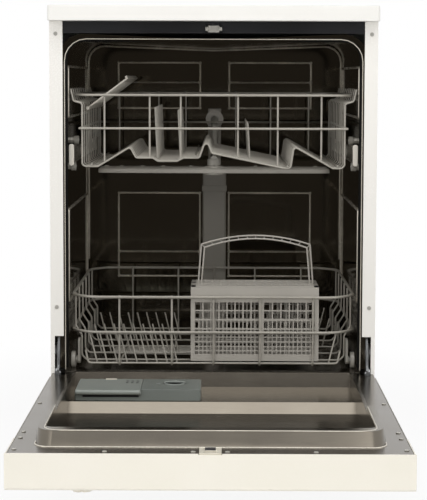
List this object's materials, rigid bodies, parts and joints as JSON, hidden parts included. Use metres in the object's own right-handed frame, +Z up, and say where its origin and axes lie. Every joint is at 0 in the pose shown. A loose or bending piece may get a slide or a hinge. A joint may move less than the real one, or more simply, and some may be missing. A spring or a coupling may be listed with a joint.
{
  "type": "freestanding dishwasher",
  "caption": "White freestanding dishwasher with its door open, two pull-out wire racks, spray arms, cutlery basket and detergent dispenser.",
  "frame": {"origin": "on the floor, under the middle of the whole object's box with the door open", "axes": "+Z up, the door opens towards -Y, +X to the right when facing the door"},
  "size_m": [0.599, 1.2, 0.85],
  "materials": {
    "laminate": "smooth white laminate with a soft sheen",
    "white_enamel": "smooth white enamel",
    "galvanised": "dull zinc-coated sheet",
    "black_plastic": "black moulded plastic",
    "foot_plastic": "dark moulded plastic",
    "plinth_paint": "satin light grey paint",
    "stainless": "lightly brushed stainless sheet",
    "seal": "matt dark rubber",
    "grey_plastic": "fine-grained mid grey plastic",
    "pump_housing": "dark grey moulded housing",
    "white_plastic": "white moulded plastic with a soft sheen",
    "dispenser_plastic": "fine-grained grey plastic",
    "latch_plastic": "dark grey plastic",
    "coated_wire": "smooth grey coating over steel wire",
    "wheel_plastic": "smooth light grey plastic",
    "basket_plastic": "fine-grained grey plastic"
  },
  "bodies": {
    "cabinet": {"worktop": "laminate", "side_panel_right": "white_enamel", "side_panel_left": "white_enamel", "rear_panel": "galvanised", "base_tray": "black_plastic", "levelling_feet": "foot_plastic", "plinth": "plinth_paint", "tub_wrapper": "stainless", "tub_back_wall": "stainless", "tub_floor": "stainless", "front_frame": "black_plastic", "door_gasket": "seal", "latch_striker": "stainless", "cabinet_fixings": "stainless", "hinge_brackets": "galvanised", "water_duct": "grey_plastic", "docking_connector": "black_plastic", "sump": "grey_plastic", "filter_plate": "stainless", "circulation_pump": "pump_housing", "drain_pump": "black_plastic", "heater": "pump_housing", "inlet_valve": "pump_housing"},
    "filter_cup": {"coarse_filter": "grey_plastic"},
    "lower_arm": {"lower_spray_arm": "grey_plastic"},
    "door": {"door_outer_panel": "white_enamel", "door_liner": "stainless", "control_panel": "white_plastic", "hinge_arms": "galvanised", "door_catch": "latch_plastic", "door_screws": "stainless", "dispenser_body": "dispenser_plastic"},
    "power_key": {"power_button": "white_plastic"},
    "start_key": {"start_button": "white_plastic"},
    "knob": {"program_knob": "white_plastic"},
    "lid": {"detergent_lid": "dispenser_plastic"},
    "latch": {"lid_latch": "latch_plastic"},
    "cap": {"rinse_cap": "dispenser_plastic"},
    "rails": {"upper_rails": "stainless", "rail_end_caps": "grey_plastic"},
    "rollers_below": {"lower_rail_rollers": "wheel_plastic"},
    "rollers_above": {"upper_rail_rollers": "wheel_plastic"},
    "upper_rack": {"upper_cross_wires": "coated_wire", "upper_rim_wires": "coated_wire", "upper_tines": "coated_wire", "upper_wheel_brackets": "grey_plastic", "upper_feed_pipe": "grey_plastic"},
    "upper_front_wheels": {"upper_wheels_front": "wheel_plastic"},
    "upper_rear_wheels": {"upper_wheels_rear": "wheel_plastic"},
    "shelf": {"cup_shelf": "grey_plastic"},
    "upper_arm": {"upper_spray_arm": "grey_plastic"},
    "lower_rack": {"lower_cross_wires": "coated_wire", "lower_rim_wires": "coated_wire", "lower_tines": "coated_wire", "lower_wheel_clips": "grey_plastic"},
    "lower_front_wheels": {"lower_wheels_front": "wheel_plastic"},
    "lower_rear_wheels": {"lower_wheels_rear": "wheel_plastic"},
    "basket": {"cutlery_basket": "basket_plastic"},
    "front_cover": {"basket_cover_front": "basket_plastic"},
    "rear_cover": {"basket_cover_rear": "basket_plastic"}
  },
  "joints": [
    {"name": "door_hinge", "type": "hinge", "parent": "cabinet", "child": "door", "pos_m": [0, 0.042, 0.177], "axis": [-1, 0, 0], "range_deg": [0, 90]},
    {"name": "filter_turn", "type": "hinge", "parent": "cabinet", "child": "filter_cup", "pos_m": [0.022, 0.361, 0.15], "axis": [0, 0, 1], "range_deg": [0, 90]},
    {"name": "lower_arm_spin", "type": "hinge", "parent": "cabinet", "child": "lower_arm", "pos_m": [0, 0.307, 0.17], "axis": [0, 0, 1], "continuous": true},
    {"name": "power_press", "type": "slide", "parent": "door", "child": "power_key", "axis": [0, 0, 1], "range_m": [0, 0.002], "stiffness_N_per_m": 300, "springref_m": -0.001},
    {"name": "start_press", "type": "slide", "parent": "door", "child": "start_key", "axis": [0, 0, 1], "range_m": [0, 0.002], "stiffness_N_per_m": 300, "springref_m": -0.001},
    {"name": "knob_turn", "type": "hinge", "parent": "door", "child": "knob", "pos_m": [-0.19, -0.543, 0.12], "axis": [0, 0, 1], "continuous": true},
    {"name": "lid_slide", "type": "slide", "parent": "door", "child": "lid", "axis": [0, -1, 0], "range_m": [0, 0.075]},
    {"name": "latch_press", "type": "slide", "parent": "door", "child": "latch", "axis": [0, 0, -1], "range_m": [0, 0.003], "stiffness_N_per_m": 300, "springref_m": -0.001},
    {"name": "cap_turn", "type": "hinge", "parent": "door", "child": "cap", "pos_m": [-0.067, -0.059, 0.178], "axis": [0, 0, 1], "range_deg": [0, 90]},
    {"name": "rail_slide", "type": "slide", "parent": "cabinet", "child": "rails", "axis": [0, 1, 0], "range_m": [-0.2, 0]},
    {"name": "rollers_below_turn", "type": "hinge", "parent": "cabinet", "child": "rollers_below", "pos_m": [0, 0.115, 0.5547], "axis": [1, 0, 0], "range_deg": [0, 1435]},
    {"name": "rollers_above_turn", "type": "hinge", "parent": "cabinet", "child": "rollers_above", "pos_m": [0, 0.177, 0.6013], "axis": [1, 0, 0], "range_deg": [-1435, 0]},
    {"name": "upper_rack_slide", "type": "slide", "parent": "rails", "child": "upper_rack", "axis": [0, 1, 0], "range_m": [-0.2, 0]},
    {"name": "upper_front_wheel_turn", "type": "hinge", "parent": "upper_rack", "child": "upper_front_wheels", "pos_m": [0, 0.295, 0.578], "axis": [1, 0, 0], "range_deg": [0, 870]},
    {"name": "upper_rear_wheel_turn", "type": "hinge", "parent": "upper_rack", "child": "upper_rear_wheels", "pos_m": [0, 0.495, 0.578], "axis": [1, 0, 0], "range_deg": [0, 870]},
    {"name": "shelf_tilt", "type": "hinge", "parent": "upper_rack", "child": "shelf", "pos_m": [-0.2353, 0.297, 0.663], "axis": [0, -1, 0], "range_deg": [-37, 53]},
    {"name": "upper_arm_spin", "type": "hinge", "parent": "upper_rack", "child": "upper_arm", "pos_m": [0, 0.307, 0.535], "axis": [0, 0, 1], "continuous": true},
    {"name": "lower_rack_slide", "type": "slide", "parent": "cabinet", "child": "lower_rack", "axis": [0, 1, 0], "range_m": [-0.42, 0]},
    {"name": "lower_front_wheel_turn", "type": "hinge", "parent": "lower_rack", "child": "lower_front_wheels", "pos_m": [0, 0.101, 0.193], "axis": [1, 0, 0], "range_deg": [0, 1605]},
    {"name": "lower_rear_wheel_turn", "type": "hinge", "parent": "lower_rack", "child": "lower_rear_wheels", "pos_m": [0, 0.481, 0.193], "axis": [1, 0, 0], "range_deg": [0, 1605]},
    {"name": "basket_lift", "type": "slide", "parent": "lower_rack", "child": "basket", "axis": [0, 0, 1], "range_m": [0, 0.1]},
    {"name": "front_cover_turn", "type": "hinge", "parent": "basket", "child": "front_cover", "pos_m": [0.0775, 0.067, 0.3343], "axis": [1, 0, 0], "range_deg": [0, 95]},
    {"name": "rear_cover_turn", "type": "hinge", "parent": "basket", "child": "rear_cover", "pos_m": [0.0775, 0.157, 0.3343], "axis": [-1, 0, 0], "range_deg": [0, 95]}
  ],
  "couplings": [
    {"joint": "rollers_below_turn", "follows": "rail_slide", "rad_per_m": -125},
    {"joint": "rollers_above_turn", "follows": "rail_slide", "rad_per_m": 125},
    {"joint": "upper_front_wheel_turn", "follows": "upper_rack_slide", "rad_per_m": -75.758},
    {"joint": "upper_rear_wheel_turn", "follows": "upper_rack_slide", "rad_per_m": -75.758},
    {"joint": "lower_front_wheel_turn", "follows": "lower_rack_slide", "rad_per_m": -66.667},
    {"joint": "lower_rear_wheel_turn", "follows": "lower_rack_slide", "rad_per_m": -66.667}
  ]
}
